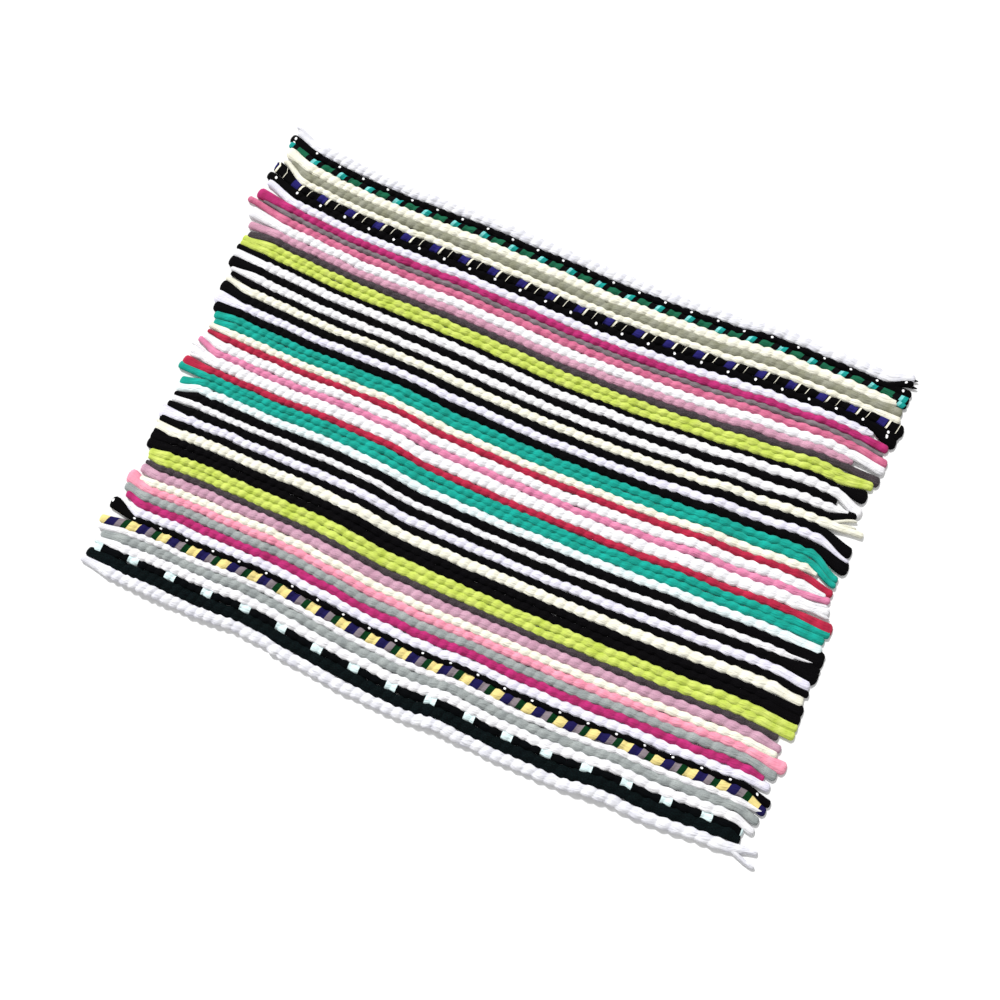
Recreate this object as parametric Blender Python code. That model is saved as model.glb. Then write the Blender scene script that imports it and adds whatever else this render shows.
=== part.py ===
"""A hand-woven rag rug lying flat: the woven field and the loops of its rag strips beyond each outer warp.

Metres, +Z up, the floor at z = 0. The rag strips run along X, the warps along Y, and the far edge is at +Y.
Run it with: blender --background --python part.py
"""

from collections import namedtuple
from math import cos, pi

import bmesh
import bpy

MM = 0.001

# Driving sizes
FIELD_LEFT = -401 * MM  # the outer warp at the left end
FIELD_RIGHT = 404 * MM  # the outer warp at the right end
REACH_END = 461.5 * MM  # how far the longest loop stands from the middle of the rug, at both ends
FAR_EDGE = 310 * MM  # the far edge at the middle of the rug
NEAR_EDGE = -330.5 * MM  # the near edge at the middle of the rug
THICKNESS = 8.5 * MM  # rag strips crossing over and under the warps
EDGE_THICKNESS = 5.5 * MM  # the rounded rim, where only one strip is left
LOOP_THICKNESS = 5.5 * MM  # a flattened strip beyond the outer warp
GAP = 0.3 * MM  # between the field and the loops
RIM = 5 * MM  # how far in from the edge the rim rounds off

# How finely the field is divided
FIELD_STEPS_ALONG = 44
FIELD_STEPS_ACROSS = 22

# How far the rows drift towards the far edge at each place along the rug, against the middle of the rug
Drift = namedtuple("Drift", "along near_edge near_part middle far_part far_edge")
DRIFT = [
    Drift(-455, 17, 9, 10, 14, 15),
    Drift(-400, 15, 11, 9, 11, 9),
    Drift(-350, 15, 12, 8, 9, 4),
    Drift(-290, 14, 11, 7, 6, 2),
    Drift(-235, 17, 11, 10, 5, 2),
    Drift(-155, 8, 8, 8, 6, 4),
    Drift(-95, 3, 2, 2, 4, 2),
    Drift(0, 0, 0, 0, 0, 0),
    Drift(105, 0, 0, 0, 1, -1),
    Drift(165, 0, 0, 2, 5, 2),
    Drift(215, 1, 1, 3, 7, 5),
    Drift(255, 6, 2, 7, 10, 10),
    Drift(310, 4, 3, 7, 15, 10),
    Drift(370, 8, 6, 12, 22, 9),
    Drift(405, 10, 5, 12, 20, 8),
    Drift(455, 12, 2, 12, 18, 10),
]
# The places across the rug that the five columns of drift stand for
DRIFT_ACROSS = [-315 * MM, -165 * MM, -15 * MM, 135 * MM, 300 * MM]

# Soft buckles, where the rug lifts a little off the floor: a middle, a half length and half width, and a height
Buckle = namedtuple("Buckle", "along across half_along half_across lift")
BUCKLES = [
    Buckle(along=-148, across=-110, half_along=42, half_across=190, lift=5.0),
    Buckle(along=-262, across=-250, half_along=38, half_across=120, lift=4.0),
    Buckle(along=262, across=60, half_along=40, half_across=170, lift=5.0),
    Buckle(along=52, across=-312, half_along=42, half_across=60, lift=4.0),
    Buckle(along=-345, across=-312, half_along=40, half_across=55, lift=3.5),
    Buckle(along=250, across=-315, half_along=40, half_across=60, lift=3.5),
    Buckle(along=350, across=170, half_along=45, half_across=110, lift=3.5),
]

# The loops beyond the outer warps, from the far edge to the near edge: each holds the rows that lie in one
# bundle, at the middle of the rug. reach is how far its tip stands from the middle, lean how far the tip is
# turned towards the far edge, and tip its width there.
Loop = namedtuple("Loop", "far near reach lean tip")
LEFT_LOOPS = [
    Loop(far=309, near=297, reach=448, lean=10.5, tip=11),
    Loop(far=295, near=267, reach=446, lean=5, tip=24),
    Loop(far=265, near=246, reach=439, lean=4, tip=17),
    Loop(far=245, near=224, reach=450, lean=3, tip=19),
    Loop(far=222, near=198, reach=449, lean=3, tip=19),
    Loop(far=196, near=182, reach=461.5, lean=5, tip=7),
    Loop(far=181, near=163, reach=450, lean=2, tip=13),
    Loop(far=162, near=134, reach=444, lean=-4, tip=20),
    Loop(far=133, near=107, reach=445, lean=2, tip=18),
    Loop(far=106, near=88, reach=437, lean=3, tip=13),
    Loop(far=87, near=67, reach=441, lean=3, tip=15),
    Loop(far=66, near=46, reach=436, lean=2, tip=14),
    Loop(far=45, near=27, reach=430, lean=-2, tip=10),
    Loop(far=26, near=8, reach=431, lean=3, tip=10),
    Loop(far=7, near=-13, reach=434, lean=6, tip=14),
    Loop(far=-14, near=-38, reach=440, lean=1, tip=18),
    Loop(far=-39, near=-57, reach=439, lean=-6, tip=17),
    Loop(far=-58, near=-79, reach=432, lean=-7, tip=13),
    Loop(far=-80, near=-99, reach=433, lean=-4, tip=13),
    Loop(far=-100, near=-119, reach=435, lean=-1, tip=12),
    Loop(far=-120, near=-152, reach=432, lean=-5, tip=26),
    Loop(far=-153, near=-180, reach=427, lean=-4, tip=20),
    Loop(far=-181, near=-212, reach=435, lean=1, tip=24),
    Loop(far=-213, near=-233, reach=428, lean=3, tip=14),
    Loop(far=-234, near=-253, reach=442, lean=4, tip=12),
    Loop(far=-254, near=-268, reach=445, lean=-4, tip=7),
    Loop(far=-269, near=-295, reach=434, lean=-3, tip=17),
    Loop(far=-296, near=-317, reach=439, lean=1, tip=13),
    Loop(far=-318, near=-330.2, reach=442, lean=0, tip=7),
]
RIGHT_LOOPS = [
    Loop(far=309, near=280, reach=450, lean=2, tip=23),
    Loop(far=277, near=246, reach=446, lean=-1, tip=25),
    Loop(far=245, near=224, reach=453, lean=-3, tip=18),
    Loop(far=222, near=198, reach=441, lean=-6, tip=18),
    Loop(far=196, near=170, reach=446, lean=-7, tip=19),
    Loop(far=169, near=150, reach=445, lean=-1, tip=14),
    Loop(far=149, near=125, reach=440, lean=-1, tip=17),
    Loop(far=124, near=107, reach=431, lean=-3, tip=11),
    Loop(far=106, near=78, reach=448, lean=3, tip=10),
    Loop(far=77, near=58, reach=444, lean=-7, tip=16),
    Loop(far=57, near=37, reach=444, lean=-6, tip=14),
    Loop(far=36, near=17, reach=438, lean=-6, tip=13),
    Loop(far=16, near=-1, reach=439, lean=0, tip=11),
    Loop(far=-2, near=-28, reach=444, lean=3, tip=14),
    Loop(far=-29, near=-56, reach=454, lean=2, tip=22),
    Loop(far=-57, near=-79, reach=450, lean=-1, tip=17),
    Loop(far=-80, near=-108, reach=456, lean=-1, tip=24),
    Loop(far=-109, near=-131, reach=452, lean=-2, tip=18),
    Loop(far=-132, near=-152, reach=454, lean=-3, tip=18),
    Loop(far=-153, near=-178, reach=453, lean=-3, tip=20),
    Loop(far=-179, near=-200, reach=444, lean=-1, tip=15),
    Loop(far=-201, near=-223, reach=457, lean=0, tip=15),
    Loop(far=-224, near=-243, reach=446, lean=-1, tip=14),
    Loop(far=-244, near=-263, reach=456, lean=-2, tip=15),
    Loop(far=-264, near=-284, reach=449, lean=-2, tip=15),
    Loop(far=-285, near=-304, reach=445, lean=-3, tip=12),
    Loop(far=-305, near=-330.2, reach=461.5, lean=-4, tip=18),
]
LOOP_STEPS = 6  # stations along a loop
LOOP_ROUND = 9 * MM  # the length of a loop's rounded tip
WEB = 4 * MM  # how far out the loops stay side by side, as one comb


def remove_everything():
    """Clears the scene that Blender starts with."""
    for thing in list(bpy.data.objects):
        bpy.data.objects.remove(thing, do_unlink=True)


def eased(share):
    """0 to 1, with a soft start and a soft end."""
    share = min(1.0, max(0.0, share))
    return share * share * (3 - 2 * share)


def between(places, values, at):
    """The value at a place among rising places, eased from each to the next."""
    if at <= places[0]:
        return values[0]
    for k in range(1, len(places)):
        if at <= places[k]:
            share = eased((at - places[k - 1]) / (places[k] - places[k - 1]))
            return values[k - 1] + share * (values[k] - values[k - 1])
    return values[-1]


def drift(along, across):
    """How far a point of the straight cloth is drawn towards the far edge."""
    columns = [
        between([row.along * MM for row in DRIFT], [row[column] * MM for row in DRIFT], along)
        for column in range(1, 6)
    ]
    return between(DRIFT_ACROSS, columns, across)


def hump(offset, half):
    """1 at the middle and 0 from half away, with a soft foot."""
    share = abs(offset) / half
    return 0.0 if share >= 1 else 0.5 + 0.5 * cos(pi * share)


def lift(along, across):
    """How far the rug stands off the floor at a point."""
    most = 0.0
    for buckle in BUCKLES:
        here = hump(along - buckle.along * MM, buckle.half_along * MM)
        here *= hump(across - buckle.across * MM, buckle.half_across * MM)
        most = max(most, here * buckle.lift * MM)
    return most


def rug_material(name, colour):
    """A rough woven cotton."""
    material = bpy.data.materials.new(name)
    material.use_nodes = True
    shader = material.node_tree.nodes["Principled BSDF"]
    shader.inputs["Base Color"].default_value = (*colour, 1)
    shader.inputs["Roughness"].default_value = 0.92
    shader.inputs["Metallic"].default_value = 0.0
    return material


def finished(name, shape, colour, collection):
    """The object made from a bmesh, with its faces outwards."""
    bmesh.ops.recalc_face_normals(shape, faces=shape.faces)
    mesh = bpy.data.meshes.new(name)
    shape.to_mesh(mesh)
    shape.free()
    mesh.materials.append(rug_material(name, colour))
    thing = bpy.data.objects.new(name, mesh)
    collection.objects.link(thing)
    return thing


def rim_share(distance):
    """How full the thickness is at a distance in from the edge, from 0 on the rim to 1 inside it."""
    return min(1.0, distance / RIM) ** 0.5


def stations(start, end, steps):
    """Places from start to end, with one more just inside each, where the rim rounds off."""
    inner = [start + RIM + (end - start - 2 * RIM) * k / steps for k in range(steps + 1)]
    return [start, *inner, end]


def woven_field(collection):
    """One sheet with the outline and drift of the cloth, lifted at its buckles."""
    along = stations(FIELD_LEFT + GAP, FIELD_RIGHT - GAP, FIELD_STEPS_ALONG)
    across = stations(NEAR_EDGE, FAR_EDGE, FIELD_STEPS_ACROSS)
    shape = bmesh.new()
    bmesh.ops.create_grid(shape, x_segments=len(along) - 1, y_segments=len(across) - 1, size=1)
    order = sorted(shape.verts, key=lambda v: (round(v.co.y, 6), v.co.x))
    for number, vert in enumerate(order):
        x, straight_y = along[number % len(along)], across[number // len(along)]
        y = straight_y + drift(x, straight_y)
        vert.co = (x, y, lift(x, y))
    upper = bmesh.ops.extrude_face_region(shape, geom=shape.faces[:])["geom"]
    for vert in [part for part in upper if isinstance(part, bmesh.types.BMVert)]:
        x, y = vert.co.x, vert.co.y
        edge_y = (NEAR_EDGE + drift(x, NEAR_EDGE), FAR_EDGE + drift(x, FAR_EDGE))
        inside = min(y - edge_y[0], edge_y[1] - y, RIM)
        vert.co.z += EDGE_THICKNESS + (THICKNESS - EDGE_THICKNESS) * rim_share(max(0.0, inside))
    return finished("woven_field", shape, (0.35, 0.33, 0.34), collection)


def loop_outline(loop, side, outer_warp):
    """The stations of one loop: how far out each is, its middle across the rug and its width."""
    root_far, root_near = loop.far * MM, loop.near * MM
    reach = loop.reach * MM
    start = abs(outer_warp) + GAP
    found = []
    for k in range(LOOP_STEPS + 1):
        share = k / LOOP_STEPS
        out = start + (reach - start) * share
        width = (root_far - root_near) + (loop.tip * MM - (root_far - root_near)) * share
        if reach - out < LOOP_ROUND:
            width *= 0.45 + 0.55 * ((reach - out) / LOOP_ROUND) ** 0.5
        middle = (root_far + root_near) / 2 + loop.lean * MM * eased(share)
        middle += drift(side * outer_warp_drift(out, outer_warp), middle)
        found.append((side * out, middle, width))
    return found


def outer_warp_drift(out, outer_warp):
    """The loops keep the drift that the cloth has a little outside the outer warp."""
    return min(out, abs(outer_warp) + 30 * MM)


def loops(name, rows, side, outer_warp, collection):
    """One comb: a flat strip along the outer warp, with every loop standing out of it."""
    shape = bmesh.new()
    web_out = abs(outer_warp) + WEB
    edge = []
    for loop in rows:
        outline = [s for s in loop_outline(loop, side, outer_warp) if abs(s[0]) > web_out]
        edge += [(x, middle + width / 2) for x, middle, width in outline]
        edge += [(x, middle - width / 2) for x, middle, width in reversed(outline)]
        notch_y = (loop.near - 0.5) * MM
        edge.append((side * web_out, notch_y + drift(side * web_out, notch_y)))
    edge.pop()
    inner_x = side * (abs(outer_warp) + GAP)
    far_y, near_y = FAR_EDGE - GAP, NEAR_EDGE + GAP
    steps = FIELD_STEPS_ACROSS
    inner = [near_y + (far_y - near_y) * k / steps for k in range(steps + 1)]
    edge += [(inner_x, y + drift(inner_x, y)) for y in inner]
    verts = [shape.verts.new((x, y, 0)) for x, y in edge]
    flat = shape.faces.new(verts)
    upper = bmesh.ops.extrude_face_region(shape, geom=[flat])["geom"]
    for vert in [part for part in upper if isinstance(part, bmesh.types.BMVert)]:
        vert.co.z += LOOP_THICKNESS
    bmesh.ops.triangulate(shape, faces=shape.faces[:])
    return finished(name, shape, (0.5, 0.42, 0.45), collection)


def main():
    remove_everything()
    collection = bpy.data.collections.new("rag_rug")
    bpy.context.scene.collection.children.link(collection)
    woven_field(collection)
    loops("left_loops", LEFT_LOOPS, -1, FIELD_LEFT, collection)
    loops("right_loops", RIGHT_LOOPS, 1, FIELD_RIGHT, collection)


main()
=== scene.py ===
"""A hand-woven rag rug: 62 rows of cotton jersey strips over cotton warp threads.

The strips turn back in loops at both ends. The weave is laid out in millimetres, which MM turns into metres.
"""

from collections import namedtuple
from math import pi, radians

import bmesh
import bpy
import numpy as np
from mathutils import Matrix, Vector
from mathutils.bvhtree import BVHTree


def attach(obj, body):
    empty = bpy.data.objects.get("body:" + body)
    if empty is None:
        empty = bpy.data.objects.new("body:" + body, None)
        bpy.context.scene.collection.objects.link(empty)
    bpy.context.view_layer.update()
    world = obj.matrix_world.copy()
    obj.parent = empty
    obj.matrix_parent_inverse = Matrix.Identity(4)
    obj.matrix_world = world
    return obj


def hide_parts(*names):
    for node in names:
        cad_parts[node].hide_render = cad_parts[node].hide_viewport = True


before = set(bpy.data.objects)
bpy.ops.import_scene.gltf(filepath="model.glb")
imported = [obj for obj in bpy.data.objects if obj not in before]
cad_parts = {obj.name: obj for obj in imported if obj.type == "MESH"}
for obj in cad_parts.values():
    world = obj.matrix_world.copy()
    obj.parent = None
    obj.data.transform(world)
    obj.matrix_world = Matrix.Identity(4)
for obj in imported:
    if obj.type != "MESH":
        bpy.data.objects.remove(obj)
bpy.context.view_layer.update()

MM = 0.001


# ---- The warp threads ----
# 120 cotton threads, strung across the rug 5.5 to 8 mm apart. Each one passes over one row of rag and under
# the next, and ends in the heading rows, so only short stitches of it show between the strips.

# The rows from the far edge to the near edge, as the weaver laid them: the cloth and its width at the middle
# of the rug. Past the outer warps, left and right are how far the loop's tip stands from the middle, rise how
# far the tip is turned towards the far edge, and tip its width there. All in millimetres.
Row = namedtuple("Row", "cloth width left left_rise left_tip right right_rise right_tip")
ROWS = [
    Row("heading", 14, 440, 7, 7, 444, 8, 8),
    Row("dotted_black", 9, 446, 8, 10, 444, 12, 7),
    Row("teal_print", 8.5, 444, 9, 9, 446, -5, 10),
    Row("cream", 13, 442, 9, 13, 434, 1, 10),
    Row("khaki", 11, 430, 9, 4, 443, -1, 9),
    Row("cream", 9, 440, 16, 5, 444, -2, 8),
    Row("navy_print", 11, 448, 14, 12, 453, -6, 14),
    Row("dotted_black", 11, 452, 10, 9, 449, -14, 14),
    Row("lavender", 11, 447, 12, 8, 418, 0, 4),
    Row("magenta", 10, 453, 3, 12, 442, -3, 9),
    Row("grey_mauve", 7, 441, 3, 3, 438, -5, 4),
    Row("rose", 10, 461, 7, 6, 447, -6, 9),
    Row("white", 12.5, 452, 3, 12, 447, -5, 10),
    Row("dusty_pink", 10.5, 444, -3, 8, 404, -3, 6),
    Row("charcoal", 9, 439, -7, 9, 446, -1, 11),
    Row("lime", 9.5, 443, -4, 7, 440, 3, 7),
    Row("lime", 9.5, 443, -1, 7, 440, 8, 7),
    Row("black", 6, 445, 0, 6, 438, 0, 15),
    Row("white", 12, 445, 0, 9, 438, -13, 11),
    Row("black", 10, 446, -1, 13, 404, 1, 8),
    Row("white", 11, 439, 0, 5, 423, 4, 4),
    Row("black", 8, 436, 4, 5, 434, 15, 8),
    Row("cream", 11, 439, 5, 5, 449, 4, 6),
    Row("black", 10.5, 441, 5, 13, 443, -13, 12),
    Row("lavender", 10.5, 442, 0, 15, 443, -13, 4),
    Row("black", 10.5, 437, -2, 13, 446, -12, 15),
    Row("teal", 9.5, 431, -3, 8, 438, -19, 7),
    Row("teal", 9, 427, -3, 7, 438, -17, 6),
    Row("cream", 10, 431, 1, 6, 412, -2, 4),
    Row("crimson", 8.5, 429, 2, 4, 438, -9, 8),
    Row("white", 12.5, 431, 5, 7, 431, -3, 6),
    Row("pink", 9, 435, 10, 6, 438, 4, 7),
    Row("white", 15, 438, 6, 10, 442, 3, 9),
    Row("crimson", 9, 441, 0, 12, 453, -5, 14),
    Row("teal", 9.5, 443, 2, 8, 452, 0, 9),
    Row("teal", 9.5, 432, -7, 9, 448, 0, 9),
    Row("aqua_white", 11, 432, -6, 9, 449, -2, 11),
    Row("black", 11.5, 431, -4, 5, 456, -2, 17),
    Row("white", 8.5, 431, 0, 7, 421, 0, 4),
    Row("black", 11, 433, 1, 6, 456, -1, 19),
    Row("lavender", 11, 438, 0, 13, 450, -2, 11),
    Row("black", 9, 434, 2, 9, 452, -2, 7),
    Row("cream", 13, 434, 2, 10, 449, -2, 9),
    Row("black", 10, 434, -1, 11, 453, 0, 12),
    Row("black", 10, 434, -1, 11, 453, -1, 12),
    Row("lime", 10, 426, -2, 8, 453, 0, 9),
    Row("lime", 10, 424, 2, 5, 453, 0, 9),
    Row("charcoal", 8, 424, 3, 4, 435, 0, 7),
    Row("mauve", 12, 426, 4, 9, 443, -3, 8),
    Row("cream", 10, 422, 0, 7, 441, 0, 8),
    Row("salmon", 10, 437, 9, 15, 457, -2, 13),
    Row("cool_grey", 11, 434, 5, 9, 449, -5, 10),
    Row("magenta", 10.5, 428, 7, 8, 436, -3, 6),
    Row("lavender", 11.5, 419, 5, 8, 446, 0, 8),
    Row("dotted_black", 7, 441, 9, 13, 453, -9, 8),
    Row("checked_print", 12, 444, -7, 8, 451, -11, 9),
    Row("white", 8, 441, -7, 6, 448, -1, 6),
    Row("cool_grey", 11, 434, -6, 9, 447, -6, 8),
    Row("white", 12, 437, -3, 8, 446, -8, 7),
    Row("notched_black", 9, 434, -2, 10, 434, -4, 8),
    Row("green_black", 14, 440, -2, 12, 434, -3, 9),
    Row("heading", 13, 443, 3, 8, 458, 5, 5),
]
FAR_EDGE = 310  # the far edge at the middle of the rug
row_edges = FAR_EDGE - np.cumsum([0] + [row.width for row in ROWS])

# How far the rows drift towards the far edge, along the rug, against the middle of the rug
Drift = namedtuple("Drift", "along near near_part middle far_part far")
DRIFTS = [
    Drift(-470, 18, 7, 9, 15, 16),
    Drift(-413, 16, 8, 9, 13, 14),
    Drift(-393, 14.5, 10, 9, 11.5, 10),
    Drift(-353, 15.5, 12, 8, 9, 6),
    Drift(-293, 14, 11.5, 7.5, 5.5, 2),
    Drift(-233, 17, 11, 10, 5.5, 2),
    Drift(-193, 14, 11, 10, 5.5, 3),
    Drift(-153, 8.5, 8, 8.5, 6, 4),
    Drift(-93, 3.5, 2, 2, 4.5, 2),
    Drift(-33, -0.5, 1, 0.5, 2, 2),
    Drift(7, 0, 0, 0, 0, 0),
    Drift(47, 5.5, 0, -0.3, 0.3, -1.5),
    Drift(107, 0, -0.4, 0.5, 1.6, -0.5),
    Drift(167, -0.5, 0.3, 2, 4.5, 2.5),
    Drift(207, 0, 1, 3, 7.5, 4),
    Drift(247, 5.5, 1, 7, 9, 10),
    Drift(277, 6.5, 2, 7.5, 13.5, 11),
    Drift(307, 4, 3, 7, 15, 10),
    Drift(367, 7.5, 5.5, 11, 21.5, 9),
    Drift(407, 10.5, 5.5, 12.5, 19.5, 8),
    Drift(427, 11.5, 3, 13, 19, 12),
    Drift(470, 12, 2, 13, 18, 14),
]
DRIFT_ACROSS = [-315, -165, -15, 135, 305]  # where the five columns of drift lie
GRID_STEP_ALONG = 5.0
GRID_STEP_ACROSS = 10.0
GRID_ALONG = np.arange(-480.0, 481.0, GRID_STEP_ALONG)
GRID_ACROSS = np.arange(-345.0, 346.0, GRID_STEP_ACROSS)
UNDER_THE_RUG = -0.1  # where the measuring of the cloth's height starts, in metres

# The outer warps bow a little: (across the rug, along the rug) at the left end and at the right end
LEFT_WARP = [(-310, -400), (0, -399), (310, -400)]
RIGHT_WARP = [
    (-310, 416), (-230, 413), (-110, 405), (-60, 400), (30, 393), (130, 396), (245, 407), (300, 406),
]
WARPS = 120
WARP_RADIUS = 0.35
WARP_GIRTH = 4.0
WARP_SIDES = 4
WARP_OVER = 1.9  # how far a warp stands over the rows' middle height where it crosses a row
WARP_UNDER = -1.6
WARP_DROP = 0.4
# The warps stand closer together towards the left end: (along the rug, space to the next warp)
WARP_SPACES = [
    (-400, 5.9), (-340, 5.5), (-290, 5.7), (-240, 6.1), (-190, 6.7), (-140, 7.2), (-90, 7.1), (-40, 6.7),
    (10, 6.3), (60, 6.4), (110, 6.5), (160, 7.0), (210, 7.5), (260, 7.6), (310, 8.3), (360, 8.0), (404, 8.2),
]

# The section of a row, in millimetres: half its thickness where it crosses over a warp and where it dips under
# one, and its middle line's height and wave
HALF_THICK_OVER = 3.2
HALF_THICK_UNDER = 3.0
MIDDLE_HEIGHT = 4.5
WAVE = 0.55


def softened(values, passes):
    """Values along their first axis, with their corners rounded off."""
    for _ in range(passes):
        padded = np.concatenate([values[:1], values, values[-1:]])
        values = (padded[:-2] + 2 * padded[1:-1] + padded[2:]) / 4
    return values


def drift_grid():
    """The drift at every point of the grid."""
    along = [row.along for row in DRIFTS]
    columns = [np.interp(GRID_ALONG, along, [row[k] for row in DRIFTS]) for k in range(1, 6)]
    columns = softened(np.array(columns).T, 4)
    grid = np.array([np.interp(GRID_ACROSS, DRIFT_ACROSS, place) for place in columns])
    return softened(grid.T, 3).T


def lift_grid():
    """How far the frame's cloth stands off the floor at every point of the grid."""
    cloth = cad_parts["woven_field"].data
    tree = BVHTree.FromPolygons([v.co for v in cloth.vertices], [p.vertices for p in cloth.polygons])
    grid = np.zeros((len(GRID_ALONG), len(GRID_ACROSS)))
    for i, x in enumerate(GRID_ALONG):
        for j, y in enumerate(GRID_ACROSS):
            hit = tree.ray_cast(Vector((x * MM, y * MM, UNDER_THE_RUG)), Vector((0, 0, 1)))[0]
            if hit is not None:
                grid[i, j] = hit.z / MM
    return grid


drifts = drift_grid()
lifts = lift_grid()


def read_grid(grid, x, y):
    """A grid's value at places in millimetres, evened out between its points."""
    across = np.clip((x - GRID_ALONG[0]) / GRID_STEP_ALONG, 0, len(GRID_ALONG) - 1.001)
    up = np.clip((y - GRID_ACROSS[0]) / GRID_STEP_ACROSS, 0, len(GRID_ACROSS) - 1.001)
    i, j = across.astype(int), up.astype(int)
    s, t = across - i, up - j
    low = grid[i, j] * (1 - s) + grid[i + 1, j] * s
    high = grid[i, j + 1] * (1 - s) + grid[i + 1, j + 1] * s
    return low * (1 - t) + high * t


def drifted(x, straight_y):
    """Where a point of the straight cloth lies across the rug."""
    return straight_y + read_grid(drifts, x, straight_y)


def warp_along(number, y):
    """How far along the rug a warp lies, counted from the left, at places across the rug."""
    left = np.interp(y, *zip(*LEFT_WARP))
    right = np.interp(y, *zip(*RIGHT_WARP))
    places = np.arange(-400.0, 405.0, 2.0)
    counted = np.cumsum(1 / np.interp(places, *zip(*WARP_SPACES)))
    share = np.interp(np.asarray(number) / (WARPS - 1), (counted - counted[0]) / (counted[-1] - counted[0]),
                      (places - places[0]) / (places[-1] - places[0]))
    return left + (right - left) * share


def tube_points(middle, half_width, half_thick, sides, lean=0.0):
    """Rings of points round a middle line: one row of the array for each side, one column for each place."""
    way = np.gradient(middle[:, :2], axis=0)
    way /= np.maximum(np.linalg.norm(way, axis=1), 1e-9)[:, None]
    angle = np.linspace(-pi, pi, sides + 1)[:, None]
    out = np.sin(angle) * half_width
    points = np.zeros((sides + 1, len(middle), 3))
    points[..., 0] = middle[:, 0] - way[:, 1] * out + way[:, 0] * out * lean
    points[..., 1] = middle[:, 1] + way[:, 0] * out + way[:, 1] * out * lean
    points[..., 2] = middle[:, 2] + np.cos(angle) * half_thick
    return points


def tubes(name, rings, girth):
    """One mesh of closed tubes. Each is a grid, rolled up onto its rings and sewn along its seam."""
    shape = bmesh.new()
    for points in rings:
        around, places = points.shape[:2]
        bmesh.ops.create_grid(shape, x_segments=places - 1, y_segments=around - 1, size=0.5)
    mesh = bpy.data.meshes.new(name)
    shape.to_mesh(mesh)
    shape.free()
    flat = np.empty(len(mesh.vertices) * 3, np.float32)
    mesh.vertices.foreach_get("co", flat)
    flat = flat.reshape(-1, 3)
    where, strip = np.empty((len(flat), 3)), np.empty((len(flat), 2))
    start = 0
    for points in rings:
        around, places = points.shape[:2]
        end = start + around * places
        i = np.rint((flat[start:end, 0] + 0.5) * (places - 1)).astype(int)
        j = np.rint((flat[start:end, 1] + 0.5) * (around - 1)).astype(int)
        where[start:end] = points[j, i] * MM
        strip[start:end, 0] = points[j, i, 0] * MM
        strip[start:end, 1] = (j / (around - 1) - 0.5) * girth * MM
        start = end
    mesh.vertices.foreach_set("co", where.astype(np.float32).ravel())
    corners = np.empty(len(mesh.loops), np.int32)
    mesh.loops.foreach_get("vertex_index", corners)
    mesh.uv_layers.new(name="strip").uv.foreach_set("vector", strip[corners].astype(np.float32).ravel())
    shape = bmesh.new()
    shape.from_mesh(mesh)
    bmesh.ops.remove_doubles(shape, verts=shape.verts, dist=1e-6)
    bmesh.ops.recalc_face_normals(shape, faces=shape.faces)
    shape.to_mesh(mesh)
    shape.free()
    mesh.shade_smooth()
    piece = bpy.data.objects.new(name, mesh)
    bpy.context.scene.collection.objects.link(piece)
    return piece


def add(tree, kind, inputs=None, **settings):
    """A node with its settings made and its inputs filled or joined."""
    made = tree.nodes.new(kind)
    for name, value in settings.items():
        setattr(made, name, value)
    for name, value in (inputs or {}).items():
        if isinstance(value, bpy.types.NodeSocket):
            tree.links.new(value, made.inputs[name])
        else:
            made.inputs[name].default_value = value
    return made


def maths(tree, operation, first, second=0.0, third=0.0):
    """The result of one sum."""
    return add(tree, "ShaderNodeMath", {0: first, 1: second, 2: third}, operation=operation).outputs[0]


def mixed(tree, factor, first, second, blend="MIX"):
    """One colour laid over another."""
    made = add(tree, "ShaderNodeMix", data_type="RGBA", blend_type=blend)
    for place, value in ((0, factor), (6, first), (7, second)):
        if isinstance(value, bpy.types.NodeSocket):
            tree.links.new(value, made.inputs[place])
        else:
            made.inputs[place].default_value = value
    return made.outputs[2]


def dyed(code):
    """A colour from its dye chart code, as light values."""
    parts = [int(code[k : k + 2], 16) / 255 for k in (0, 2, 4)]
    return (*[p / 12.92 if p < 0.04045 else ((p + 0.055) / 1.055) ** 2.4 for p in parts], 1.0)


def new_group(name, inputs, outputs):
    """An empty node group with its sockets."""
    tree = bpy.data.node_groups.new(name, "ShaderNodeTree")
    for socket, kind in inputs:
        tree.interface.new_socket(socket, in_out="INPUT", socket_type=kind)
    for socket, kind in outputs:
        tree.interface.new_socket(socket, in_out="OUTPUT", socket_type=kind)
    return tree, tree.nodes.new("NodeGroupInput").outputs, tree.nodes.new("NodeGroupOutput")


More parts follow.
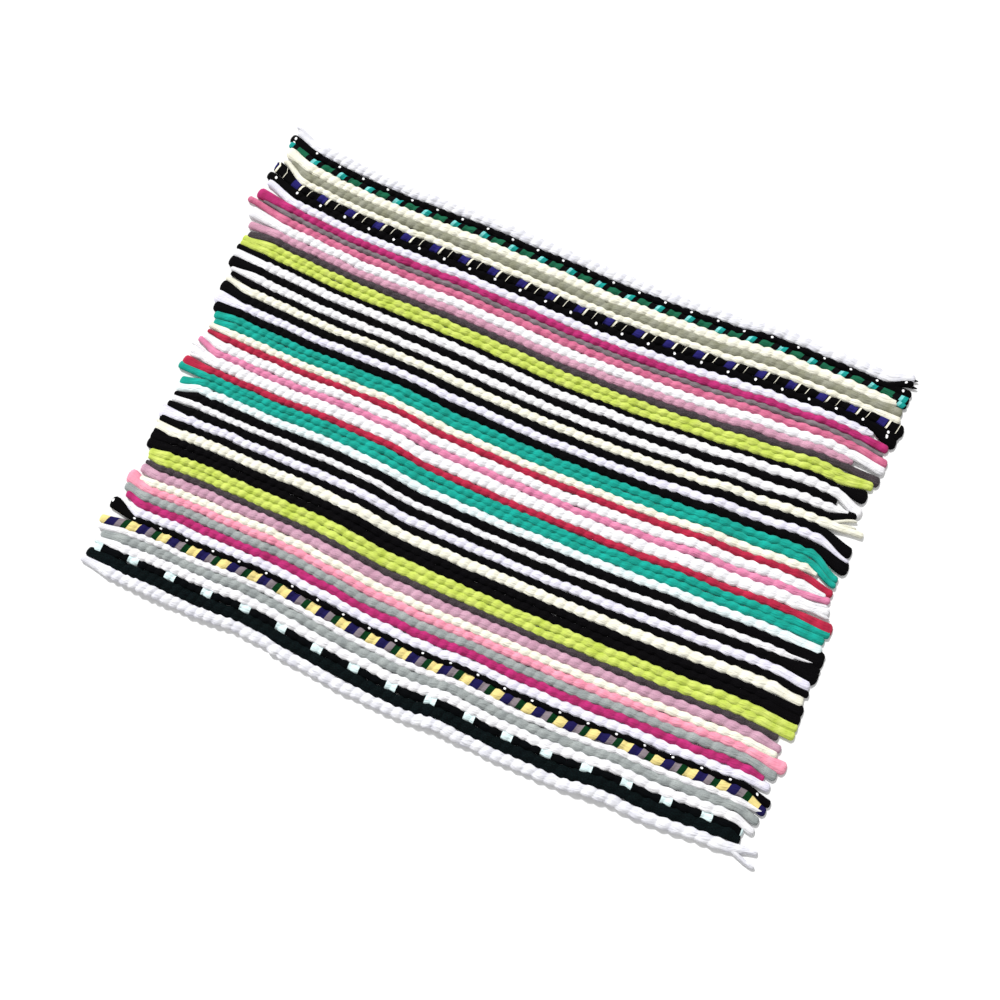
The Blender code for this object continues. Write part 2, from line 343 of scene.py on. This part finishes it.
def knitted_cloth():
    """Cotton jersey pulled into a strip: soft creases along it, fine knit ribs, and uneven dye and fibre."""
    tree, given, result = new_group(
        "knitted_cloth",
        [("Strip", "NodeSocketVector"), ("Crease", "NodeSocketFloat")],
        [("Height", "NodeSocketFloat"), ("Tone", "NodeSocketFloat"), ("Fleck", "NodeSocketFloat")],
    )
    strip = given["Strip"]
    creased = add(tree, "ShaderNodeMapping", {"Vector": strip, "Scale": (70, 420, 1)}).outputs[0]
    creases = add(
        tree, "ShaderNodeTexNoise", {"Vector": creased, "Scale": 1.0, "Detail": 2.0, "Roughness": 0.55}
    )
    twisted = add(
        tree, "ShaderNodeMapping", {"Vector": strip, "Rotation": (0, 0, radians(-28)), "Scale": (160, 900, 1)}
    ).outputs[0]
    ribs = add(
        tree, "ShaderNodeTexNoise", {"Vector": twisted, "Scale": 1.0, "Detail": 1.0, "Roughness": 0.5}
    )
    height = maths(tree, "MULTIPLY", creases.outputs[0], given["Crease"])
    height = maths(tree, "MULTIPLY_ADD", ribs.outputs[0], 0.35, height)
    slow = add(tree, "ShaderNodeTexNoise", {"Vector": strip, "Scale": 55.0, "Detail": 3.0, "Roughness": 0.6})
    fibre = add(tree, "ShaderNodeMapping", {"Vector": strip, "Scale": (700, 1500, 1)}).outputs[0]
    flecks = add(tree, "ShaderNodeTexNoise", {"Vector": fibre, "Scale": 1.0, "Detail": 2.0, "Roughness": 0.7})
    tree.links.new(height, result.inputs["Height"])
    tree.links.new(slow.outputs[0], result.inputs["Tone"])
    tree.links.new(flecks.outputs[0], result.inputs["Fleck"])
    return tree


cloth_surface = knitted_cloth()


def jersey(name, colour, shade, fleck=None, fleck_share=0.0, crease=1.0, pattern=None, sheen=0.08, gloss=0.2):
    """A cotton jersey material. pattern gives the colour of a printed cloth from its strip."""
    material = bpy.data.materials.new(name)
    material.use_nodes = True
    tree = material.node_tree
    shader = tree.nodes["Principled BSDF"]
    strip = add(tree, "ShaderNodeUVMap", uv_map="strip").outputs[0]
    surface = add(tree, "ShaderNodeGroup", node_tree=cloth_surface)
    tree.links.new(strip, surface.inputs["Strip"])
    surface.inputs["Crease"].default_value = crease
    worn = add(tree, "ShaderNodeMapRange", {0: surface.outputs["Tone"], 1: 0.35, 2: 0.65}).outputs[0]
    base = mixed(tree, worn, dyed(shade), dyed(colour))
    if pattern is not None:
        base = pattern(tree, strip, base)
    if fleck is not None:
        threads = add(
            tree, "ShaderNodeMapRange", {0: surface.outputs["Fleck"], 1: 0.5, 2: 0.62, 3: 0.0, 4: fleck_share}
        ).outputs[0]
        base = mixed(tree, threads, base, dyed(fleck))
    tree.links.new(base, shader.inputs["Base Color"])
    rough = add(tree, "ShaderNodeMapRange", {0: surface.outputs["Tone"], 1: 0.3, 2: 0.7, 3: 0.82, 4: 0.96})
    tree.links.new(rough.outputs[0], shader.inputs["Roughness"])
    bump = add(tree, "ShaderNodeBump", {"Height": surface.outputs["Height"], "Strength": 0.9, "Distance": 0.0022})
    tree.links.new(bump.outputs[0], shader.inputs["Normal"])
    shader.inputs["Specular IOR Level"].default_value = gloss
    shader.inputs["Sheen Weight"].default_value = sheen
    shader.inputs["Sheen Roughness"].default_value = 0.5
    return material


def warp_rings():
    """The rings of every warp, over the rows that dip and under the rows that stand up."""
    places = np.arange(0.5, len(ROWS) - 0.25, 0.5)
    straight = np.interp(places, np.arange(len(row_edges)), row_edges)
    found = []
    for number in range(WARPS):
        over = np.cos(pi * (places - 0.5 + number)) * (np.mod(places, 1) == 0.5)
        stand = np.where(over > 0, WARP_OVER, 0) + np.where(over < 0, WARP_UNDER, 0)
        height = MIDDLE_HEIGHT - WARP_DROP + stand
        x = warp_along(number, straight)
        y = drifted(x, straight)
        middle = np.stack([x, y, height + read_grid(lifts, x, y)], axis=1)
        radius = np.full(len(x), WARP_RADIUS)
        radius[[0, -1]] = 0.0
        found.append(tube_points(middle, radius, radius, WARP_SIDES))
    return found


def warp_thread():
    """Undyed twisted cotton, greyed with painted shade where it lies deep between the rows."""
    material = bpy.data.materials.new("undyed_cotton_thread")
    material.use_nodes = True
    tree = material.node_tree
    shader = tree.nodes["Principled BSDF"]
    place = add(tree, "ShaderNodeTexCoord").outputs["Object"]
    twist = add(tree, "ShaderNodeTexNoise", {"Vector": place, "Scale": 900.0, "Detail": 2.0})
    soil_and_shade = add(tree, "ShaderNodeTexNoise", {"Vector": place, "Scale": 40.0, "Detail": 2.0})
    # Both greys are painted shade on the near-white cotton, for where the warp sits down between the rows; the
    # noise mixes them in random patches.
    base = mixed(tree, soil_and_shade.outputs[0], dyed("8E8C92"), dyed("BDBAB8"))
    tree.links.new(base, shader.inputs["Base Color"])
    rough = add(tree, "ShaderNodeMapRange", {0: twist.outputs[0], 3: 0.8, 4: 0.95})
    tree.links.new(rough.outputs[0], shader.inputs["Roughness"])
    bump = add(tree, "ShaderNodeBump", {"Height": twist.outputs[0], "Strength": 0.5, "Distance": 0.0004})
    tree.links.new(bump.outputs[0], shader.inputs["Normal"])
    return material


def belongs(piece):
    """The piece is one laid sheet of the rug, and with the others it stands for the plain cloth."""
    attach(piece, "root")
    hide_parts("woven_field", "left_loops", "right_loops")


warp_piece = tubes("warp_threads", warp_rings(), WARP_GIRTH)
warp_piece.data.materials.append(warp_thread())
belongs(warp_piece)


# ---- The black strips ----
# Plain black jersey, cut about 28 mm wide and packed down to a soft flattened rope. Single rows of it part the
# white and cream rows, and one double row backs the lime.

STATIONS_UP = [0, 0.14, 0.36, 0.68]  # from a dip to the next crest, in shares of a warp's space
STATIONS_DOWN = [0, 0.32, 0.64, 0.86]  # from a crest to the next dip
LOOP_STATIONS = np.array([0.12, 0.25, 0.4, 0.55, 0.7, 0.82, 0.9, 0.96, 0.99, 1.0])
STRIP_SIDES = 10
STRIP_GIRTH = 28  # the cut width of a strip, which is folded round into a flattened tube
LEAN = 0.36  # how far the crests slant, in millimetres along for each millimetre across
LOOP_FULL = 1.4  # the loops are looser than the rows, and spread until they lie against each other
WIDE_OVER = 0.6  # half the width of a crest, in row widths
WIDE_UNDER = 0.5  # half the width of a dip
CREST_FULLNESS = 0.6  # below 1 the crests are wider than the dips
LOOP_HALF_THICK = 2.7
LOOP_WIDE = 0.53  # half the width of a loop where it leaves the outer warp, in row widths
SHORTEST_LOOP = 4.0
SMALLEST_ROUNDING = 3.0  # how far from its tip a narrow loop starts to round off

# How unevenly the rows are packed. The crests of a row take their scatter from a list of this many draws.
CRESTS_DRAWN = 80
HEIGHT_SCATTER = 0.05
WIDTH_SCATTER = 0.035
SWAY_SCATTER = 0.9
SWAY_PASSES = 30
SWAY = 2.0
FIRST_SEED = 1000


def crest(warps_along, row_number):
    """0 where the row dips under a warp, 1 where it crosses over one, with wide crests and narrow dips."""
    wave = 0.5 - 0.5 * np.cos(pi * (warps_along + row_number))
    return wave**CREST_FULLNESS


def eased(share):
    """0 to 1, starting and ending gently."""
    share = np.clip(share, 0, 1)
    return share * share * (3 - 2 * share)


def row_rings(number):
    """The rings of one row, with a loop at each end."""
    row = ROWS[number]
    chance = np.random.default_rng(FIRST_SEED + number)
    far, near = row_edges[number], row_edges[number + 1]
    centre, straight_width = (far + near) / 2, far - near
    # along the weave, from the left outer warp to the right one
    steps = [k + s for k in range(WARPS - 1) for s in (STATIONS_UP if (k + number) % 2 == 0 else STATIONS_DOWN)]
    woven = np.array(steps + [WARPS - 1])
    x = warp_along(woven, np.full(len(woven), float(centre)))
    top, bottom = drifted(x, np.full(len(x), far)), drifted(x, np.full(len(x), near))
    y = (top + bottom) / 2
    width = top - bottom
    high = crest(woven, number)
    each = np.rint((woven + number) / 2).astype(int) % CRESTS_DRAWN
    high_scatter = chance.normal(0, HEIGHT_SCATTER, CRESTS_DRAWN)[each]
    wide_scatter = chance.normal(0, WIDTH_SCATTER, CRESTS_DRAWN)[each]
    sway = softened(chance.normal(0, SWAY_SCATTER, len(x)), SWAY_PASSES) * SWAY
    half_width = width * (WIDE_UNDER + (WIDE_OVER - WIDE_UNDER) * high * (1 + wide_scatter * 3))
    half_thick = HALF_THICK_UNDER + (HALF_THICK_OVER - HALF_THICK_UNDER) * high * (1 + high_scatter)
    height = MIDDLE_HEIGHT + WAVE * (2 * high - 1) * (1 + high_scatter)
    middle = np.stack([x, y + sway, height], axis=1)
    lean = np.full(len(x), LEAN)
    ends = []
    loops = ((-1, row.left, row.left_rise, row.left_tip), (1, row.right, row.right_rise, row.right_tip))
    for side, reach, rise, tip in loops:
        place = 0 if side < 0 else -1
        start = x[place]
        length = max(abs(side * reach - start), SHORTEST_LOOP)
        share = LOOP_STATIONS
        out = start + side * length * share
        bend = eased(share)
        out_y = (drifted(out, np.full(len(out), far)) + drifted(out, np.full(len(out), near))) / 2
        out_y = out_y + rise * bend + sway[place] * (1 - bend)
        wide = straight_width * LOOP_WIDE * (1 - bend) + tip * LOOP_FULL / 2 * bend
        wide[0] = half_width[place] * 0.5 + wide[0] * 0.5
        round_off = max(tip / 2, SMALLEST_ROUNDING)
        left_over = np.clip((1 - share) * length / round_off, 0, 1)
        cap = np.sqrt(1 - (1 - left_over) ** 2)
        thick = LOOP_HALF_THICK * cap
        rest = thick + (MIDDLE_HEIGHT - LOOP_HALF_THICK) * (1 - eased(share * 1.6))
        loop = np.stack([out, out_y, rest], axis=1)
        ends.append((loop, wide * cap, thick, LEAN * (1 - bend) * 0.5))
    (left, left_w, left_t, left_l), (right, right_w, right_t, right_l) = ends
    middle = np.concatenate([left[::-1], middle, right])
    half_width = np.concatenate([left_w[::-1], half_width, right_w])
    half_thick = np.concatenate([left_t[::-1], half_thick, right_t])
    lean = np.concatenate([left_l[::-1], lean, right_l])
    points = tube_points(middle, half_width, half_thick, STRIP_SIDES, lean)
    points[..., 2] += read_grid(lifts, middle[:, 0], middle[:, 1])
    return points


# Loose strands at the loops, where a strip has split or folded: the row, which end, how far the tip stands from
# the middle of the rug, its rise and the strand's width
Strand = namedtuple("Strand", "row side reach rise width")
STRANDS = [
    Strand(0, -1, 445, 14, 5),
    Strand(0, -1, 441, 10, 6),
    Strand(1, -1, 444, 4, 11),
    Strand(3, -1, 440, 14, 5),
    Strand(6, -1, 447, 19, 8),
    Strand(12, -1, 451, 8, 5),
    Strand(16, -1, 441, 4, 7),
    Strand(32, -1, 440, 13, 5),
    Strand(32, -1, 436, -2, 5),
    Strand(40, -1, 437, 7, 4),
    Strand(40, -1, 436, -7, 4),
    Strand(42, -1, 436, 7, 4),
    Strand(43, -1, 433, 6, 9),
    Strand(59, -1, 437, 4, 6),
    Strand(1, 1, 448, 18, 3),
    Strand(1, 1, 450, 8, 3),
    Strand(1, 1, 446, -4, 12),
    Strand(2, 1, 445, -13, 9),
    Strand(3, 1, 437, 7, 4),
    Strand(7, 1, 449, -4, 12),
    Strand(22, 1, 436, 18, 4),
    Strand(22, 1, 438, 9, 4),
    Strand(32, 1, 438, 9, 5),
    Strand(32, 1, 444, -4, 5),
    Strand(37, 1, 455, 5, 12),
    Strand(38, 1, 447, 4, 5),
    Strand(39, 1, 455, 8, 12),
    Strand(40, 1, 449, 3, 4),
    Strand(40, 1, 449, -7, 4),
    Strand(42, 1, 448, 4, 4),
    Strand(61, 1, 460, -12, 6),
]


def strand_rings(strand):
    """The rings of one loose strand, from under the outer warp to its rounded tip."""
    far, near = row_edges[strand.row], row_edges[strand.row + 1]
    start = warp_along(0 if strand.side < 0 else WARPS - 1, (far + near) / 2) - strand.side * 4
    share = np.concatenate([[0.0, 0.02], LOOP_STATIONS])
    out = start + (strand.side * strand.reach - start) * share
    places = [drifted(out, np.full(len(out), edge)) for edge in (far, near)]
    across = (places[0] + places[1]) / 2 + strand.rise * eased(share)
    cap = np.sqrt(np.clip(np.minimum(share / 0.02, (1 - share) / 0.08), 0, 1))
    thick = np.minimum(strand.width / 2, 2.6) * cap
    middle = np.stack([out, across, 3.6 - 1.2 * share], axis=1)
    return tube_points(middle, strand.width / 2 * cap, thick, STRIP_SIDES)


def weave(cloth, material, name=None):
    """Every row of one cloth, as one piece."""
    numbers = [k for k, row in enumerate(ROWS) if row.cloth == cloth]
    rings = [row_rings(k) for k in numbers] + [strand_rings(s) for s in STRANDS if s.row in numbers]
    piece = tubes(name or cloth + "_strips", rings, STRIP_GIRTH)
    piece.data.materials.append(material)
    belongs(piece)


def black_jersey(name, colour="060507", shade="030203", **finish):
    """Black jersey has no sheen and hardly any gloss."""
    return jersey(name, colour, shade, sheen=0.0, gloss=0.06, **finish)


weave("black", black_jersey("black_jersey", fleck="1A181C", fleck_share=0.3))


# ---- The white strips ----
# Bleached white jersey, a little greyed in soft random patches. It is the ground of the rug between the coloured
# rows.

weave("white", jersey("white_jersey", "F7F6F7", "E6E5E9"))
weave("aqua_white", jersey("aqua_white_jersey", "F1F8F8", "D9EAEC"), "aqua_white_strip")
weave("heading", jersey("heading_cotton", "F3F3F6", "D9D9E2"))


# ---- The cream and lavender strips ----
# Unbleached cream jersey, and white jersey that has taken a little lavender from the wash.

weave("cream", jersey("cream_jersey", "F8F6E8", "ECE9D4"))
weave("lavender", jersey("lavender_jersey", "EFEDF7", "DCD9EA"))


# ---- The lime and teal strips ----
# Double rows of bright jersey, where two crests side by side look like a braid.

weave("lime", jersey("lime_jersey", "D3E070", "B7C94C"))
weave("teal", jersey("teal_jersey", "12AC9C", "07907F"))


# ---- The red and pink strips ----
# Crimson, magenta, rose, salmon and pink jersey. The dusty pink and the mauve are heathered.

weave("crimson", jersey("crimson_jersey", "C02848", "9A1836"))
weave("magenta", jersey("magenta_jersey", "C23078", "9C1E58"))
weave("rose", jersey("rose_jersey", "DE7C9C", "C05A7E"), "rose_strip")
weave("salmon", jersey("salmon_jersey", "F8A6BA", "E88CA4"), "salmon_strip")
weave("pink", jersey("pink_jersey", "E78FB2", "D2759C"), "pink_strip")
weave("dusty_pink", jersey("dusty_pink_jersey", "DCA4BA", "C58CA4", "8C7C84", 0.5), "dusty_pink_strip")
weave("mauve", jersey("mauve_jersey", "D6A8BC", "BE8EA4", "96808C", 0.5), "mauve_strip")


# ---- The grey strips ----
# Heathered grey jersey in four shades, from khaki grey to charcoal.

weave("charcoal", jersey("charcoal_jersey", "40363A", "2C2428", "7A7478", 0.4))
weave("cool_grey", jersey("cool_grey_jersey", "AAB0AE", "8E9494", "6C7070", 0.4))
weave("khaki", jersey("khaki_jersey", "A0A090", "86866F", "6C6C60", 0.4), "khaki_strip")
weave("grey_mauve", jersey("grey_mauve_jersey", "8E8288", "706468", "5C5458", 0.4), "grey_mauve_strip")


# ---- The printed strips ----
# Black jersey with small printed repeats, which come out as dots, ticks and patches on the strip.

Band = namedtuple("Band", "start colour")  # where a colour starts in the repeat, in shares of it


def banded(repeat, first, bands, lean=0.0):
    """A print of colour bands across the strip, every repeat millimetres, with a repeat starting at first."""

    def pattern(tree, strip, base):
        parts = add(tree, "ShaderNodeSeparateXYZ", {0: strip}).outputs
        along = maths(tree, "MULTIPLY_ADD", parts[1], lean, parts[0])
        past_first = maths(tree, "SUBTRACT", along, first * MM)
        share = maths(tree, "FRACT", maths(tree, "DIVIDE", past_first, repeat * MM))
        ramp = add(tree, "ShaderNodeValToRGB", {0: share})
        ramp.color_ramp.interpolation = "CONSTANT"
        stops = ramp.color_ramp.elements
        stops.remove(stops[1])
        stops[0].color = (0, 0, 0, 0)
        for band in bands:
            stop = stops[0] if band.start == 0 else stops.new(band.start)
            stop.color = (0, 0, 0, 0) if band.colour is None else dyed(band.colour)
        return mixed(tree, ramp.outputs["Alpha"], base, ramp.outputs["Color"])

    return pattern


def dotted(repeat, first, colour, along=1.7, across=1.6, off=1.0):
    """A print of small dots, every repeat millimetres from first, off millimetres from the strip's top line."""

    def pattern(tree, strip, base):
        parts = add(tree, "ShaderNodeSeparateXYZ", {0: strip}).outputs
        share = maths(tree, "DIVIDE", maths(tree, "SUBTRACT", parts[0], first * MM), repeat * MM)
        near = maths(tree, "SUBTRACT", share, maths(tree, "ROUND", share))
        far_along = maths(tree, "MULTIPLY", near, repeat / along)
        far_across = maths(tree, "DIVIDE", maths(tree, "SUBTRACT", parts[1], off * MM), across * MM)
        far = maths(tree, "ADD", maths(tree, "POWER", far_along, 2.0), maths(tree, "POWER", far_across, 2.0))
        spot = maths(tree, "LESS_THAN", far, 1.0)
        return mixed(tree, spot, base, dyed(colour))

    return pattern


SLANT = -0.4  # how far a printed band leans, along the strip for each step across it

weave("dotted_black", black_jersey("dotted_black_jersey", pattern=dotted(36.3, -2.5, "F4F4F4")))

teal_bands = [
    Band(0, "7CD4D0"), Band(0.1, "1C9A92"), Band(0.24, "0C0A0D"), Band(0.4, "1E6448"), Band(0.78, "0C0A0D"),
]
teal_print = banded(41.8, -28, teal_bands, SLANT)
weave("teal_print", black_jersey("teal_print_jersey", pattern=teal_print), "teal_print_strip")

navy_bands = [
    Band(0, "F4F0DC"), Band(0.06, None), Band(0.34, "F4F0DC"), Band(0.36, None), Band(0.7, "28246A"),
    Band(0.96, None),
]
navy_print = banded(41.5, 13.5, navy_bands, SLANT)
weave("navy_print", black_jersey("navy_print_jersey", pattern=navy_print), "navy_print_strip")

checked_bands = [Band(0, "1E1A4C"), Band(0.29, "857A80"), Band(0.49, "083418"), Band(0.68, "EBD88C")]
checked_print = banded(41.6, -17.5, checked_bands, SLANT)
weave("checked_print", black_jersey("checked_print_jersey", pattern=checked_print), "checked_print_strip")

green_black = black_jersey("green_black_jersey", "070B0E", "030506", fleck="1C3A3A", fleck_share=0.25)
weave("green_black", green_black, "green_black_strip")

notch_bands = [Band(0, "DDF2F2"), Band(0.27, None)]
notched = black_jersey("notched_black_jersey", "05070A", "020304", pattern=banded(51, -29, notch_bands))
weave("notched_black", notched, "notched_black_strip")


# ---- The floor, the light and the camera ----
# A plain white floor, soft light from the far left, and the camera almost straight above the rug.

FLOOR_HALF = 4  # half the floor's side, in metres
FLOOR_DROP = 0.0004  # the floor lies just under the rug, in metres

floor_shape = bmesh.new()
bmesh.ops.create_grid(floor_shape, x_segments=4, y_segments=4, size=FLOOR_HALF)
bmesh.ops.translate(floor_shape, verts=floor_shape.verts, vec=(0, 0, -FLOOR_DROP))
floor_mesh = bpy.data.meshes.new("floor")
floor_shape.to_mesh(floor_mesh)
floor_shape.free()
floor = bpy.data.objects.new("floor", floor_mesh)
bpy.context.scene.collection.objects.link(floor)
floor_paint = bpy.data.materials.new("white_floor")
floor_paint.use_nodes = True
floor_tree = floor_paint.node_tree
grain = add(floor_tree, "ShaderNodeTexNoise", {"Scale": 3.0, "Detail": 2.0})
floor_tree.links.new(
    mixed(floor_tree, grain.outputs[0], (0.93, 0.93, 0.93, 1), (0.95, 0.95, 0.95, 1)),
    floor_tree.nodes["Principled BSDF"].inputs["Base Color"],
)
floor_tree.nodes["Principled BSDF"].inputs["Roughness"].default_value = 0.9
floor_mesh.materials.append(floor_paint)

sun_data = bpy.data.lights.new("key", "SUN")
sun_data.energy = 3.2
sun_data.angle = radians(7)
sun = bpy.data.objects.new("key", sun_data)
sun.rotation_euler = Vector((-0.62, 0.55, 0.75)).to_track_quat("Z", "Y").to_euler()
bpy.context.scene.collection.objects.link(sun)

world = bpy.data.worlds.new("studio")
world.use_nodes = True
world.node_tree.nodes["Background"].inputs["Color"].default_value = (1, 1, 1, 1)
world.node_tree.nodes["Background"].inputs["Strength"].default_value = 0.55
bpy.context.scene.world = world
bpy.context.scene.view_settings.view_transform = "Standard"

CAMERA_AIM = Vector((0.0095, -0.0334, 0))
CAMERA_AWAY = 1.26642
CAMERA_ROUND = radians(20.534)
CAMERA_UP = radians(79.258)
CAMERA_ROLL = radians(2.515)
camera_data = bpy.data.cameras.new("camera")
camera_data.lens = 36
camera_data.sensor_width = 36
camera = bpy.data.objects.new("camera", camera_data)
turn = Matrix.Rotation(CAMERA_ROUND, 4, "Z") @ Matrix.Rotation(pi / 2 - CAMERA_UP, 4, "X")
back_off = Matrix.Translation((0, 0, CAMERA_AWAY))
camera.matrix_world = Matrix.Translation(CAMERA_AIM) @ turn @ back_off @ Matrix.Rotation(CAMERA_ROLL, 4, "Z")
bpy.context.scene.collection.objects.link(camera)
bpy.context.scene.camera = camera
